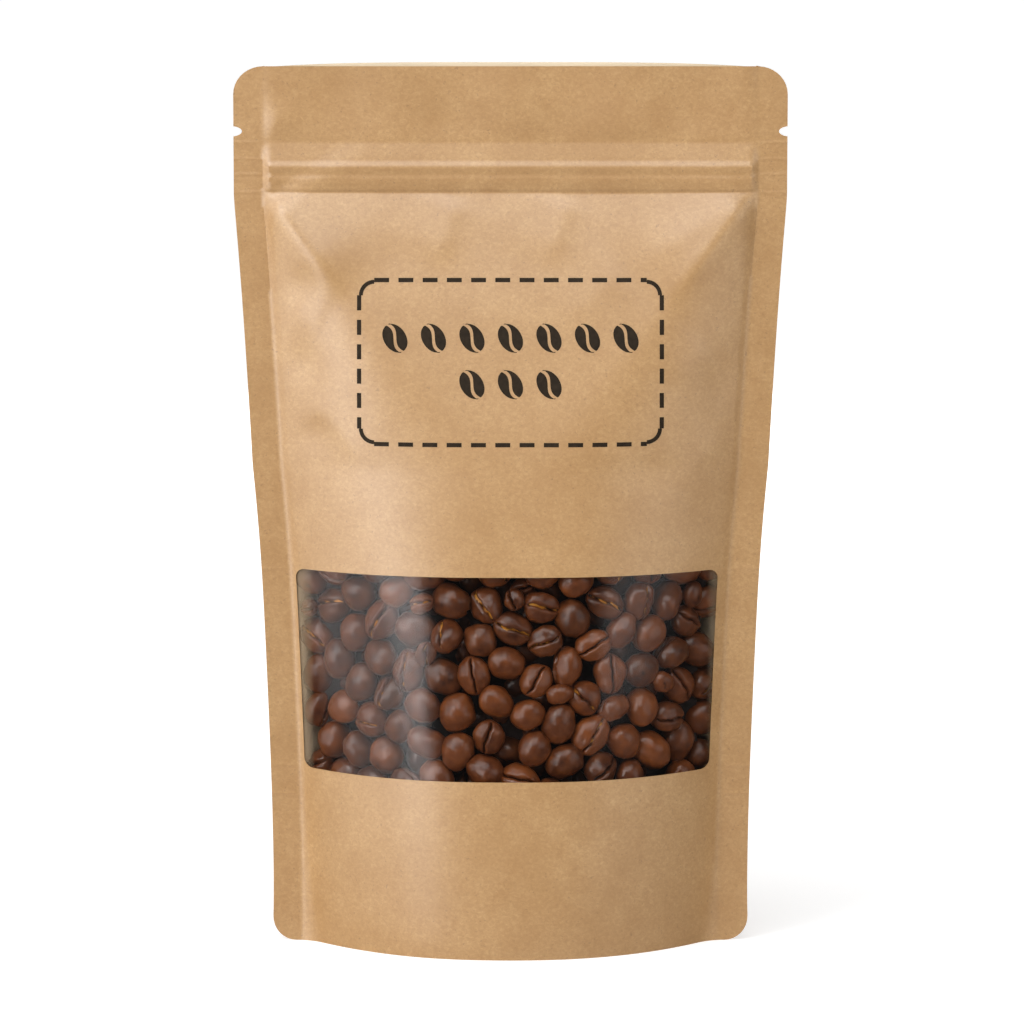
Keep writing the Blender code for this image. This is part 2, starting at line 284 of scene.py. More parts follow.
def node(tree, kind, settings=None, stops=(), **links):
    """Add a node. Links give its inputs a value or another node's socket, by number (i0) or name."""
    made = tree.nodes.new(kind)
    for key, value in (settings or {}).items():
        setattr(made, key, value)
    for _ in stops[2:]:
        made.color_ramp.elements.new(0.5)
    for index, (position, colour) in enumerate(stops):
        made.color_ramp.elements[index].position = position
        made.color_ramp.elements[index].color = colour
    for key, value in links.items():
        numbered = key[0] == "i" and key[1:].isdigit()
        socket = made.inputs[int(key[1:]) if numbered else key.replace("_", " ")]
        if isinstance(value, bpy.types.NodeSocket):
            tree.links.new(value, socket)
        else:
            socket.default_value = value
    return made


def new_material(name):
    """A material with an empty node tree, and the socket of its Object coordinates."""
    material = bpy.data.materials.new(name)
    material.use_nodes = True
    tree = material.node_tree
    tree.nodes.clear()
    return material, tree, node(tree, "ShaderNodeTexCoord").outputs["Object"]


def shaded(material, tree, shader):
    """Show the shader on the material's surface."""
    node(tree, "ShaderNodeOutputMaterial", Surface=shader.outputs[0])
    return material


BLEND = {"data_type": "RGBA"}
MULTIPLY = {"operation": "MULTIPLY"}
MULTIPLY_ADD = {"operation": "MULTIPLY_ADD"}
print("mid grey is", round(linear("#808080")[0], 3), "in linear light")

# %% [markdown]
# ## Kraft paper
# Unbleached kraft laminate: brown sulphate paper with a clear film inside. Long fibres lie in
# every direction, so its brown is cloudy over a few millimetres, with fine streaks and a few dark
# specks of bark. It is matt, with a slight sheen where it has been pressed. A scan of real paper
# would do too, but noise in Object coordinates needs no image.


# %% The kraft paper material
def kraft_paper():
    material, tree, place = new_material("unbleached kraft paper laminate")
    # clouds of 5 mm
    clouds = node(tree, "ShaderNodeTexNoise", Vector=place, Scale=180.0, Detail=4.0, Roughness=0.6)
    stops = ((0.3, linear("#AE8450")), (0.5, linear("#B68D59")), (0.72, linear("#BE9663")))
    cloudy = node(tree, "ShaderNodeValToRGB", stops=stops, i0=clouds.outputs[0])
    # fibres about 1 mm long, drawn a little coarser than real ones so that they show
    spread = node(tree, "ShaderNodeMapping", Vector=place, Scale=(1100.0, 1100.0, 1400.0))
    fine = {"Scale": 1.0, "Detail": 5.0, "Roughness": 0.7, "Distortion": 0.6}
    fibres = node(tree, "ShaderNodeTexNoise", Vector=spread.outputs[0], **fine)
    stops = ((0.28, linear("#976E3C")), (0.5, linear("#B48A57")), (0.72, linear("#D1AA79")))
    streaky = node(tree, "ShaderNodeValToRGB", stops=stops, i0=fibres.outputs[0])
    body = node(tree, "ShaderNodeMix", BLEND, i0=0.5, i6=cloudy.outputs[0], i7=streaky.outputs[0])
    # slow clouds of 15 mm, where the pulp is thicker or thinner
    pulp = node(tree, "ShaderNodeTexNoise", Vector=place, Scale=65.0, Detail=3.0, Roughness=0.55)
    denser = node(tree, "ShaderNodeMapRange", Value=pulp.outputs[0], i1=0.35, i2=0.68, i3=0.0, i4=0.4)
    dense = linear("#A0743F")
    body = node(tree, "ShaderNodeMix", BLEND, i0=denser.outputs[0], i6=body.outputs[2], i7=dense)
    # bark specks of 0.3 mm
    specks = node(tree, "ShaderNodeTexNoise", Vector=place, Scale=1500.0, Detail=2.0, Roughness=0.5)
    spots = node(tree, "ShaderNodeMapRange", Value=specks.outputs[0], i1=0.66, i2=0.74, i3=0.0, i4=0.5)
    bark = linear("#7E5B35")
    colour = node(tree, "ShaderNodeMix", BLEND, i0=spots.outputs[0], i6=body.outputs[2], i7=bark)
    # the inner side of the back lip, marked by an attribute, is paler
    inner = node(tree, "ShaderNodeAttribute", {"attribute_name": "inner_side"}).outputs["Fac"]
    colour = node(tree, "ShaderNodeMix", BLEND, i0=inner, i6=colour.outputs[2], i7=linear("#DCC9A9"))
    grain = node(tree, "ShaderNodeBump", Strength=0.22, Distance=0.00012, Height=fibres.outputs[0])
    # pressed, coated paper: fairly smooth, and a little shinier than bare paper
    gloss = {"Roughness": 0.4, "IOR": 1.6, "Specular_IOR_Level": 1.0, "Normal": grain.outputs[0]}
    shader = node(tree, "ShaderNodeBsdfPrincipled", Base_Color=colour.outputs[2], **gloss)
    return shaded(material, tree, shader)


KRAFT = kraft_paper()
print("made", KRAFT.name)

# %% [markdown]
# ## From a grid to a sheet
# A panel starts as Blender's own grid. Each of its points has a column and a row, and a function
# says where that point lies on the bag. That keeps the mesh regular, so it shades smoothly, and
# rows can crowd together at the zip, where the relief is fine. A cloth simulation could blow the
# bag up instead, but it would not meet the CAD model's sizes so closely.


# %% Grid and piece helpers
def bent_grid(columns, rows, place, bm=None):
    """A grid whose points are put at place(column, row), in millimetres."""
    bm = bm or bmesh.new()
    made = bmesh.ops.create_grid(bm, x_segments=columns, y_segments=rows, size=1.0)["verts"]
    flat = np.array([v.co[:] for v in made])
    column = np.rint((flat[:, 0] + 1) / 2 * columns).astype(int)
    row = np.rint((flat[:, 1] + 1) / 2 * rows).astype(int)
    for vert, spot in zip(made, np.stack(place(column, row), axis=1) * MM):
        vert.co = spot
    return bm


SHARP_ANGLE = 35.0


def new_piece(name, bm, material, sharp=SHARP_ANGLE):
    """An object from a bmesh, smooth but for its sharp edges."""
    mesh = bpy.data.meshes.new(name)
    bm.to_mesh(mesh)
    bm.free()
    mesh.materials.append(material)
    mesh.shade_smooth()
    mesh.set_sharp_from_angle(angle=math.radians(sharp))
    piece = bpy.data.objects.new(name, mesh)
    bpy.context.scene.collection.objects.link(piece)
    return piece


def finish_modifiers(piece):
    """Turn the piece's modifiers into plain mesh."""
    view = bpy.context.evaluated_depsgraph_get()
    mesh = bpy.data.meshes.new_from_object(piece.evaluated_get(view))
    piece.modifiers.clear()
    piece.data = mesh
    mesh.set_sharp_from_angle(angle=math.radians(SHARP_ANGLE))


def cut_away(piece, cutter):
    """Take the cutter's volume out of the piece."""
    boolean = piece.modifiers.new("cut", "BOOLEAN")
    boolean.operation = "DIFFERENCE"
    boolean.solver = "MANIFOLD"
    boolean.object = cutter
    finish_modifiers(piece)


def even(low, high, step):
    """Evenly spaced values, about one step apart."""
    return list(np.linspace(low, high, max(int(round((high - low) / step)), 1) + 1))


# %% Rows and columns of a panel
CROWDING = 0.85


def panel_rows(body, band):
    """Row heights: body is the spacing on the panel, band the spacing on the zip."""
    corner = [BASE_RADIUS * (1 - math.cos(a)) for a in np.linspace(0, math.pi / 2, 9)]
    top = [HEIGHT - TOP_RADIUS * (1 - math.sin(a)) for a in np.linspace(0, math.pi / 2, 10)]
    rows = corner + even(7.0, ZIP_FOOT - 1.5, body)[1:] + even(ZIP_FOOT - 1, 191.6, band)
    rows += even(192.0, HEIGHT - TOP_RADIUS, 1.2)[1:-1] + top
    lines = [h + d for h in SEAL_LINES if h < ZIP_FOOT - 2 for d in (-0.5, 0.0, 0.5)]
    return np.array(sorted(rows + lines * (band < 0.5)))


def panel_columns(fin, middle):
    """Column places: 0 to 1 over each seal, then shares of the width between the seals."""
    steps = np.linspace(-1, 1, middle + 1)
    shares = np.sign(steps) * np.abs(steps) ** CROWDING
    left = [("fin", -1 + i / fin) for i in range(fin)]
    return left + [("middle", s) for s in shares] + [("fin", (i + 1) / fin) for i in range(fin)]


def panel_x(columns, column, z):
    """Place across of a column at a height."""
    inner = np.minimum(seal_x(z), edge_x(z) - 0.4)
    where = np.array([1.0 if kind == "fin" else 0.0 for kind, _ in columns])[column]
    share = np.array([s for _, s in columns])[column]
    left = (share < 0) & (where > 0)
    fin_share = np.where(left, -share, share)
    on_fin = np.where(left, -1, 1) * (inner + fin_share * (edge_x(z) - inner))
    return np.where(where > 0, on_fin, share * inner)


# %% [markdown]
# ## Front and back panels
# The front panel is a bent grid, thickened inwards by Solidify like a real sheet, and then the
# window and the tear notches are cut out, as a die cutter would. The back panel has no window and
# fewer points. The front lip is cut a little lower than the back one, which helps a thumb to open
# the bag, so the inside of the back lip shows as a light line along the top.

# %% Front panel
LIP_FOOT = 195.0
FRONT_ROWS = panel_rows(1.15, 0.28)
FRONT_COLUMNS = panel_columns(8, 128)


def front_place(column, row):
    z = FRONT_ROWS[row]
    x = panel_x(FRONT_COLUMNS, column, z)
    y = -(front_depth(x, z) + seal_mark(x, z))
    return x, y, z - LIP_DROP * np.clip((z - LIP_FOOT) / (HEIGHT - LIP_FOOT), 0, 1)


def thicken(piece, thickness):
    """Give a sheet its thickness, inwards."""
    solid = piece.modifiers.new("sheet", "SOLIDIFY")
    solid.thickness = thickness * MM
    solid.offset = -1.0
    solid.use_even_offset = True
    finish_modifiers(piece)


front_sheet = bent_grid(len(FRONT_COLUMNS) - 1, len(FRONT_ROWS) - 1, front_place)
front = new_piece("paper_front", front_sheet, KRAFT)
thicken(front, PAPER)
print("front panel:", len(front.data.polygons), "faces")


# %% Window and notch cutters
NOTCH_DEEP = 2.0
NOTCH_HALF = 1.15
NOTCH_MOUTH = 1.35


def prism(name, outline, y0, y1):
    """A cutter: an outline of x and z, pulled from y0 to y1."""
    bm = bmesh.new()
    face = bm.faces.new([bm.verts.new((x * MM, y0 * MM, z * MM)) for x, z in outline])
    grown = bmesh.ops.extrude_face_region(bm, geom=[face])["geom"]
    verts = [v for v in grown if isinstance(v, bmesh.types.BMVert)]
    bmesh.ops.translate(bm, vec=(0, (y1 - y0) * MM, 0), verts=verts)
    bmesh.ops.recalc_face_normals(bm, faces=bm.faces)
    return new_piece(name, bm, KRAFT)


def window_outline():
    """The window's sides follow the side seals, and its corners are rounded."""
    turns = np.linspace(0, math.pi / 2, 9)
    low = [(1 - math.sin(a), WINDOW_BOTTOM + WINDOW_CORNER * (1 - math.cos(a))) for a in turns]
    sides = [(0.0, z) for z in even(WINDOW_BOTTOM + 4, WINDOW_TOP - 4, 2.0)]
    high = [(1 - math.sin(a), WINDOW_TOP - WINDOW_CORNER * (1 - math.cos(a))) for a in turns[::-1]]
    right = [(float(seal_x(z)) - WINDOW_EDGE - WINDOW_CORNER * k, z) for k, z in low + sides + high]
    return [(x + WINDOW_SHIFT, z) for x, z in right + [(-x, z) for x, z in right[::-1]]]


def notch_outline(side):
    """A tear notch: a short, slightly pointed bite in the edge."""
    turns = np.linspace(-math.pi / 2, math.pi / 2, 13)
    bite = [(NOTCH_DEEP * math.cos(a) ** 1.25, NOTCH_HALF * math.sin(a)) for a in turns]
    edge = float(edge_x(NOTCH_Z))
    outline = [(side * (edge - k), NOTCH_Z + h) for k, h in bite]
    return outline + [(side * (edge + NOTCH_DEEP), NOTCH_Z + h) for h in (NOTCH_MOUTH, -NOTCH_MOUTH)]


window_cut = prism("window cut", window_outline(), -40, 0)
notch_cuts = [prism("notch cut", notch_outline(side), -3, 3) for side in (1, -1)]
cut_away(front, window_cut)
for cutter in notch_cuts:
    cut_away(front, cutter)
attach(front, "root")
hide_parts("pouch")
print("front panel with its window:", len(front.data.polygons), "faces")

# %% Back panel
BACK_ROWS = panel_rows(2.4, 0.7)
BACK_COLUMNS = panel_columns(4, 72)
LIP_OPEN = 0.5


def back_depth(x, z):
    """Half thickness of the back, which has a few soft waves and no creases."""
    soft = 0.35 * np.sin(x / 11.0 + z / 23.0) * np.sin(z / 17.0 + 1.0)
    inside = np.clip((seal_x(z) - np.abs(x)) / 12.0, 0, 1) * np.clip((ZIP_FOOT - z) / 20, 0, 1)
    return half_depth(x, z) + soft * inside * np.clip(z / 20, 0, 1)


def back_place(column, row):
    z = BACK_ROWS[row]
    x = -panel_x(BACK_COLUMNS, column, z)
    upper = np.clip((z - LIP_FOOT) / (HEIGHT - LIP_FOOT), 0, 1)
    apart = np.clip(1 - (x / LIP_HALF) ** 4, 0, 1)
    return x, back_depth(x, z) + LIP_OPEN * upper**6 * apart, z - LIP_DROP * upper * (1 - apart)


back_sheet = bent_grid(len(BACK_COLUMNS) - 1, len(BACK_ROWS) - 1, back_place)
back = new_piece("paper_back", back_sheet, KRAFT)
thicken(back, PAPER)
for cutter in notch_cuts:
    cut_away(back, cutter)
for cutter in [window_cut] + notch_cuts:
    bpy.data.objects.remove(cutter, do_unlink=True)
# mark the points whose surface looks forward, into the bag
normals = np.empty(len(back.data.vertices) * 3, np.float32)
back.data.vertex_normals.foreach_get("vector", normals)
inner_side = back.data.attributes.new("inner_side", "FLOAT", "POINT")
inner_side.data.foreach_set("value", (normals[1::3] < -0.5).astype(np.float32))
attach(back, "root")
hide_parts("pouch")
print("back panel:", len(back.data.polygons), "faces")

# %% [markdown]
# ## Bottom gusset
# The bag stands because a third sheet is folded up between the two panels. Filled, it opens to a
# saddle: low in the middle, high at the side seals, and welded to the panels along the foot. It is
# seen only from underneath. Its outer rows turn down along the walls as the weld does.

# %% Gusset sheet
GUSSET_LOW = 6.0
GUSSET_HIGH = 38.0
GUSSET_POWER = 2.6


def gusset_z(x):
    """Height of the fold's crest over the foot."""
    share = np.minimum(np.abs(x) / seal_x(20.0), 1.0)
    return GUSSET_LOW + (GUSSET_HIGH - GUSSET_LOW) * share**GUSSET_POWER


GUSSET_EDGE = np.array([0.94, 1.0, 1.08, 1.2, 1.35, 1.5])
GUSSET_STEPS = np.concatenate([-GUSSET_EDGE[::-1], np.linspace(-0.85, 0.85, 19), GUSSET_EDGE])
GUSSET_COLUMNS = 60
GUSSET_GAP = 0.03


def gusset_place(column, row):
    share = (column / GUSSET_COLUMNS * 2 - 1) * 0.985
    step = GUSSET_STEPS[row]
    across = np.clip(step, -1, 1)
    weld = np.clip((np.abs(step) - 1) / 0.5, 0, 1)
    top = gusset_z(share * seal_x(20.0)) + 1.5 * (1 - across**2) * (1 - share**2)
    z = top * (1 - weld) + 0.15 * weld
    x = share * seal_x(z)
    wall = np.where(step < 0, front_depth(x, z), back_depth(x, z))
    slope = slopes(half_depth, x, z)[0]
    wall = np.maximum(wall - (PAPER + GUSSET_GAP) * np.sqrt(1 + slope**2), 0.02)
    return x, across * wall, z


gusset_sheet = bent_grid(GUSSET_COLUMNS, len(GUSSET_STEPS) - 1, gusset_place)
gusset = new_piece("paper_gusset", gusset_sheet, KRAFT)
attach(gusset, "root")
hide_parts("pouch")
print("gusset:", len(gusset.data.polygons), "faces")

# %% [markdown]
# ## Clear film
# The window is a strip of clear plastic welded behind the paper. From the front it is mostly
# see-through; where it turns away it mirrors the softboxes as long, milky streaks. A mix of a
# transparent and a glossy shader, weighted by Fresnel, does both. Real glass shading would bend
# and darken what lies behind, and a sheet this thin does neither. The last 3 mm before the side
# seals are hazy from the heat of the sealing bars.


# %% The film material
FILM_INDEX = 1.5
FILM_SHINE = 0.5
HAZE_FROM = 46.5
HAZE_TO = 49.5


def clear_film():
    material, tree, place = new_material("clear polypropylene film")
    # from inside the sheet light goes from plastic to air, so there the index is turned over
    inside = node(tree, "ShaderNodeNewGeometry").outputs["Backfacing"]
    turned_over = 1 / FILM_INDEX - FILM_INDEX
    index = node(tree, "ShaderNodeMath", MULTIPLY_ADD, i0=inside, i1=turned_over, i2=FILM_INDEX).outputs[0]
    facing = node(tree, "ShaderNodeFresnel", IOR=index).outputs[0]
    seen = node(tree, "ShaderNodeMath", MULTIPLY, i0=facing, i1=FILM_SHINE).outputs[0]
    through = node(tree, "ShaderNodeBsdfTransparent", Color=linear("#FCFCFC")).outputs[0]
    shine = node(tree, "ShaderNodeBsdfGlossy", Color=linear("#FDFBFB"), Roughness=0.16).outputs[0]
    clear = node(tree, "ShaderNodeMixShader", i0=seen, i1=through, i2=shine).outputs[0]
    across = node(tree, "ShaderNodeSeparateXYZ", Vector=place).outputs["X"]
    outwards = node(tree, "ShaderNodeMath", {"operation": "ABSOLUTE"}, i0=across).outputs[0]
    low, high = HAZE_FROM * MM, HAZE_TO * MM
    melted = node(tree, "ShaderNodeMapRange", Value=outwards, i1=low, i2=high, i3=0.0, i4=0.2).outputs[0]
    haze = node(tree, "ShaderNodeBsdfDiffuse", Color=linear("#C0A88A")).outputs[0]
    sealed = node(tree, "ShaderNodeMixShader", i0=melted, i1=clear, i2=haze)
    return shaded(material, tree, sealed)


FILM = clear_film()
print("made", FILM.name)

# %% Film sheet
FILM_LAP = 3.0
FILM_THICK = 0.06
FILM_COLUMNS = 100
FILM_ROWS = 40


def film_depth(x, z):
    """The film follows the paper and ripples a little."""
    ripple = 0.05 * np.sin(x / 3.1 + 0.9 * np.sin(z / 6.0)) * np.sin(z / 9.0 + x / 21.0)
    return front_depth(x, z) + ripple


def film_place(column, row):
    z = WINDOW_BOTTOM - FILM_LAP + (WINDOW_TOP - WINDOW_BOTTOM + 2 * FILM_LAP) * row / FILM_ROWS
    share = column / FILM_COLUMNS * 2 - 1
    x = np.sign(share) * np.abs(share) ** CROWDING * (seal_x(z) - 0.5)
    return x, -np.maximum(inset(film_depth, x, z, PAPER + FILM_THICK), 0.08), z


film = new_piece("clear_window", bent_grid(FILM_COLUMNS, FILM_ROWS, film_place), FILM)
thicken(film, FILM_THICK)
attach(film, "root")
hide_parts("window")
print("film:", len(film.data.polygons), "faces")

# %% [markdown]
# ## Roasted beans
# A coffee bean is half an egg: round on its back and flat on its face, with an S-shaped furrow
# along the face that often holds a thread of golden skin. Each bean here starts as a UV sphere.
# Its meridians are crowded towards the furrow, so that few faces still draw it sharply. Points
# carry three attributes: the golden skin, the depth of the furrow, by which the furrow is painted
# darker as painted shade, and how dark the bean is, which is its random roasting and, on the rear
# beans, painted shade too. One bean copied a hundred times would be quicker, but the eye soon finds the
# copies.


# %% One bean
CRACKED_SHARE = 0.3


def smooth_noise(rng, points, size, count=5):
    """Soft lumps of about this size, as a sum of a few waves."""
    total = np.zeros(len(points))
    for _ in range(count):
        wave = rng.normal(size=3)
        wave *= 2 * math.pi / size / np.linalg.norm(wave)
        total += np.sin(points @ wave + rng.uniform(0, 6.3))
    return total / count


def furrow_line(along, x, rng, bow, width, half_length):
    """Depth of an S-shaped furrow, 1 in its middle; how far each point is off it; and its ends."""
    off = x - bow * np.sin(along * 2.6) - 0.12 * np.sin(along * 9 + rng.uniform(0, 6.3))
    ends = np.clip((half_length - np.abs(along)) / 0.12, 0, 1)
    return np.exp(-((off / width) ** 2)) * ends, off, ends


def bean_points(sphere, rng, long, wide, thick):
    """Move the points of a unit sphere to a bean; the face looks to -Y."""
    turn = np.arctan2(sphere[:, 1], sphere[:, 0]) + math.pi / 2
    turn = (turn + math.pi) % (2 * math.pi) - math.pi
    turn = math.pi * np.sign(turn) * np.abs(turn / math.pi) ** 1.5
    ring = np.hypot(sphere[:, 0], sphere[:, 1])
    sx = ring * np.sin(turn)
    sy = -ring * np.cos(turn)
    z = sphere[:, 2] * long / 2
    x = sx * wide / 2
    y = np.where(sy < 0, -(np.abs(sy) ** 0.8) * 0.47, sy * 0.53) * thick
    face_side = np.clip(-sy / 0.15, 0, 1)
    bow = rng.choice([-1, 1]) * rng.uniform(0.2, 0.55)
    width = rng.uniform(0.22, 0.36)
    furrow, off, ends = furrow_line(sphere[:, 2], x, rng, bow, width, 0.97)
    lips = np.exp(-(((np.abs(off) - 0.75) / 0.6) ** 2)) * ends * face_side
    furrow = furrow * face_side
    y = y + rng.uniform(1.0, 1.5) * furrow - 0.25 * lips
    # some backs have a short crack from the roasting
    crack = np.zeros(len(x))
    if rng.random() < CRACKED_SHARE:
        moved = x - rng.uniform(-1, 1)
        half_length = rng.uniform(0.3, 0.6)
        back_side = np.clip(sy / 0.15, 0, 1)
        crack = furrow_line(sphere[:, 2], moved, rng, 0.6, 0.3, half_length)[0] * back_side
        y = y - 0.5 * crack
    points = np.stack([x, y, z], axis=1)
    lumps = smooth_noise(rng, points, 5.5) * 0.42 + smooth_noise(rng, points, 2.4) * 0.22
    points = points + points / np.linalg.norm(points, axis=1)[:, None] * lumps[:, None]
    patchy = np.clip(0.75 + smooth_noise(rng, points, 2.2, 3) * 1.3, 0, 1)
    left_over = rng.choice([0.0, 0.8, 1.0], p=[0.35, 0.25, 0.4])
    skin = np.clip(furrow * 1.6 - 0.5, 0, 1) * patchy * left_over
    return points, skin, np.maximum(furrow, crack)


# %% [markdown]
# ## How the beans lie
# Beans poured into a bag settle into a loose, random pack, and those at the window lie flat
# against the film. Each bean is stood in for by a ball. The balls start at random, push each other
# apart where they overlap, and drift towards the film until they jam. Beans are thinner than they
# are wide, so the depth is squeezed afterwards. The sheet is unrolled for this, so places are
# counted along the bent film and not straight across. Blender's rigid bodies could drop real
# beans into the bag, but that takes minutes, and this takes seconds and is the same each time.

# %% Pack the beans
SQUEEZE = 0.86
BALL = 4.4
BEANS = 300
ROUNDS = 420
STILL_ROUNDS = 60
SMALL_SHARE = 0.08
SMALL_SIZE = 0.62
BEYOND_WINDOW = 9.0
PUSH_SHARE = 0.35
DRIFT = 0.12
rng = np.random.default_rng(23)
mid_z = (WINDOW_BOTTOM + WINDOW_TOP) / 2
line_x = np.linspace(0, 52, 209)
steps = np.diff(inset(half_depth, line_x, mid_z, 0.5)) / np.diff(line_x)
line_s = np.concatenate([[0], np.cumsum(np.sqrt(1 + steps**2) * np.diff(line_x))])


def unrolled(x):
    """A place along the film, from one straight across."""
    return np.sign(x) * np.interp(np.abs(x), line_x, line_s)


def rolled(s, z):
    """Back from a place along the film to x, at the width the bag has there."""
    x = np.sign(s) * np.interp(np.abs(s), line_s, line_x)
    return x * seal_x(z) / seal_x(mid_z)


def pack_beans():
    """Places (along the film, up, away from the film) and radii of the balls."""
    side = float(unrolled(seal_x(mid_z) - 0.6)) - BALL + 2.2
    low, high = WINDOW_BOTTOM - BEYOND_WINDOW, WINDOW_TOP + BEYOND_WINDOW
    small = rng.random(BEANS) < SMALL_SHARE
    size = BALL * np.where(small, SMALL_SIZE, rng.uniform(0.9, 1.08, BEANS))
    lows = (-side, low, 5.0)
    highs = (side, high, 30.0)
    spot = np.stack([rng.uniform(a, b, BEANS) for a, b in zip(lows, highs)], axis=1)
    for turn in range(ROUNDS):
        apart = spot[:, None] - spot[None]
        # the large number on the diagonal keeps a ball from pushing itself
        far = np.sqrt((apart**2).sum(axis=2)) + np.eye(BEANS) * 99
        push = np.clip(size[:, None] + size[None] - far, 0, None) / far
        spot = spot + PUSH_SHARE * (push[..., None] * apart).sum(axis=1)
        spot[:, 2] -= DRIFT if turn < ROUNDS - STILL_ROUNDS else 0.0
        spot[:, 0] = np.clip(spot[:, 0], -side, side)
        spot[:, 1] = np.clip(spot[:, 1], low, high)
        spot[:, 2] = np.maximum(spot[:, 2], size)
    return spot, size


spots, sizes = pack_beans()
print("beans against the film:", int((spots[:, 2] < BALL * 1.5).sum()), "of", len(spots))


# %% [markdown]
# ## The heap
# Each bean is turned to lie on the film and joined into one mesh. Those in front have more faces
# than those glimpsed behind them. A bean that would stand through the film is moved back, and the
# rest of its overlap is flattened against it, as a real bean would dent the film a little and no
# more. Some beans show their round back, the others their face with the furrow.


# %% Build the heap
FRONT_GAP = 0.6
REAR_GAP = 2.2
FILM_ROOM = 0.34
BACK_ROOM = 0.3
SEAM_ROOM = 1.2
TURNED_OVER = 0.42
ON_EDGE = 0.08
DEEPEST = 26.0


def film_frame(x, z):
    """The three directions at a place on the film: outwards, sideways and down."""
    across, up = slopes(front_depth, x, z)
    out = Vector((-float(across), -1.0, -float(up))).normalized()
    side = Vector((1.0, -float(across), 0.0)).normalized()
    return out, side, out.cross(side) * -1.0


def ball_mesh(around, along):
    """A unit UV sphere with room for the three values that each point carries."""
    bm = bmesh.new()
    bmesh.ops.create_uvsphere(bm, u_segments=around, v_segments=along, radius=1.0)
    mesh = bpy.data.meshes.new("unit ball")
    bm.to_mesh(mesh)
    bm.free()
    for name in ("furrow_skin", "furrow", "roast_and_shade"):
        mesh.attributes.new(name, "FLOAT", "POINT")
    return mesh, np.array([v.co[:] for v in mesh.vertices])


FINE_BALL = ball_mesh(30, 18)
PLAIN_BALL = ball_mesh(18, 11)


def kept_inside(places):
    """Keep a bean's points between the film, the back panel and the side seams."""
    reach = seal_x(places[:, 2]) - SEAM_ROOM
    places[:, 0] = np.clip(places[:, 0], -reach, reach)
    limit = inset(front_depth, places[:, 0], places[:, 2], FILM_ROOM)
    places[:, 1] += 0.85 * max(0.0, float((-places[:, 1] - limit).max()))
    places[:, 1] = np.maximum(places[:, 1], -limit)
    back_limit = inset(back_depth, places[:, 0], places[:, 2], BACK_ROOM)
    places[:, 1] = np.minimum(places[:, 1], back_limit)
    return places


def random_turn(rng, spread):
    """A random turn about the film's normal, a flip or a stand on edge, and a slight tilt."""
    roll = Matrix.Rotation(rng.uniform(0, 2 * math.pi), 3, "Y")
    flip = Matrix.Rotation(math.pi if rng.random() < TURNED_OVER else 0.0, 3, "Z")
    on_edge = Matrix.Rotation(math.pi / 2 if rng.random() < ON_EDGE else 0.0, 3, "Z")
    tilt = Matrix.Rotation(rng.normal() * spread, 3, "X")
    tilt = tilt @ Matrix.Rotation(rng.normal() * spread, 3, "Z")
    return tilt @ roll @ flip @ on_edge


def add_bean(heap, spot, size, rng):
    """Shape one bean, lay it in its place and join it to the heap."""
    z = float(spot[1])
    x = float(rolled(spot[0], z))
    behind = float(spot[2]) * SQUEEZE
    in_front = behind < BALL * SQUEEZE * 1.7
    mesh, sphere = FINE_BALL if in_front else PLAIN_BALL
    scale = size / BALL
    long = 9.5 * scale * rng.uniform(0.88, 1.08)
    thick = 6.8 * scale * rng.uniform(0.9, 1.08)
    points, skin, furrow = bean_points(sphere, rng, long, 7.9 * scale, thick)
    out, side, down = film_frame(x, z)
    # with down as its last direction this also mirrors the bean, so its faces look inwards
    lie = Matrix((side, -out, down)).transposed()
    turned = np.array(lie @ random_turn(rng, 0.22 if in_front else 0.6))
    on_film = Vector((x, -float(inset(front_depth, x, z, 0.35)), z))
    centre = on_film - out * (behind + (FRONT_GAP if in_front else REAR_GAP))
    places = kept_inside(points @ turned.T + np.array(centre))
    # the rear ones get a low, dark tone as painted shade, because less light reaches them; the front ones
    # vary at random in their roasting
    roast_and_shade = np.full(len(skin), rng.uniform(0, 1 if in_front else 0.4))
    mesh.vertices.foreach_set("co", (places * MM).astype(np.float32).ravel())
    for name, values in (("furrow_skin", skin), ("furrow", furrow), ("roast_and_shade", roast_and_shade)):
        mesh.attributes[name].data.foreach_set("value", values.astype(np.float32))
    heap.from_mesh(mesh)


def build_heap():
    """All the beans as one mesh."""
    heap = bmesh.new()
    draw = np.random.default_rng(5)
    for spot, size in zip(spots, sizes):
        if spot[2] < DEEPEST:
            add_bean(heap, spot, size, draw)
    return heap


print("faces of a front and a rear bean:", [len(m.polygons) for m, _ in (FINE_BALL, PLAIN_BALL)])
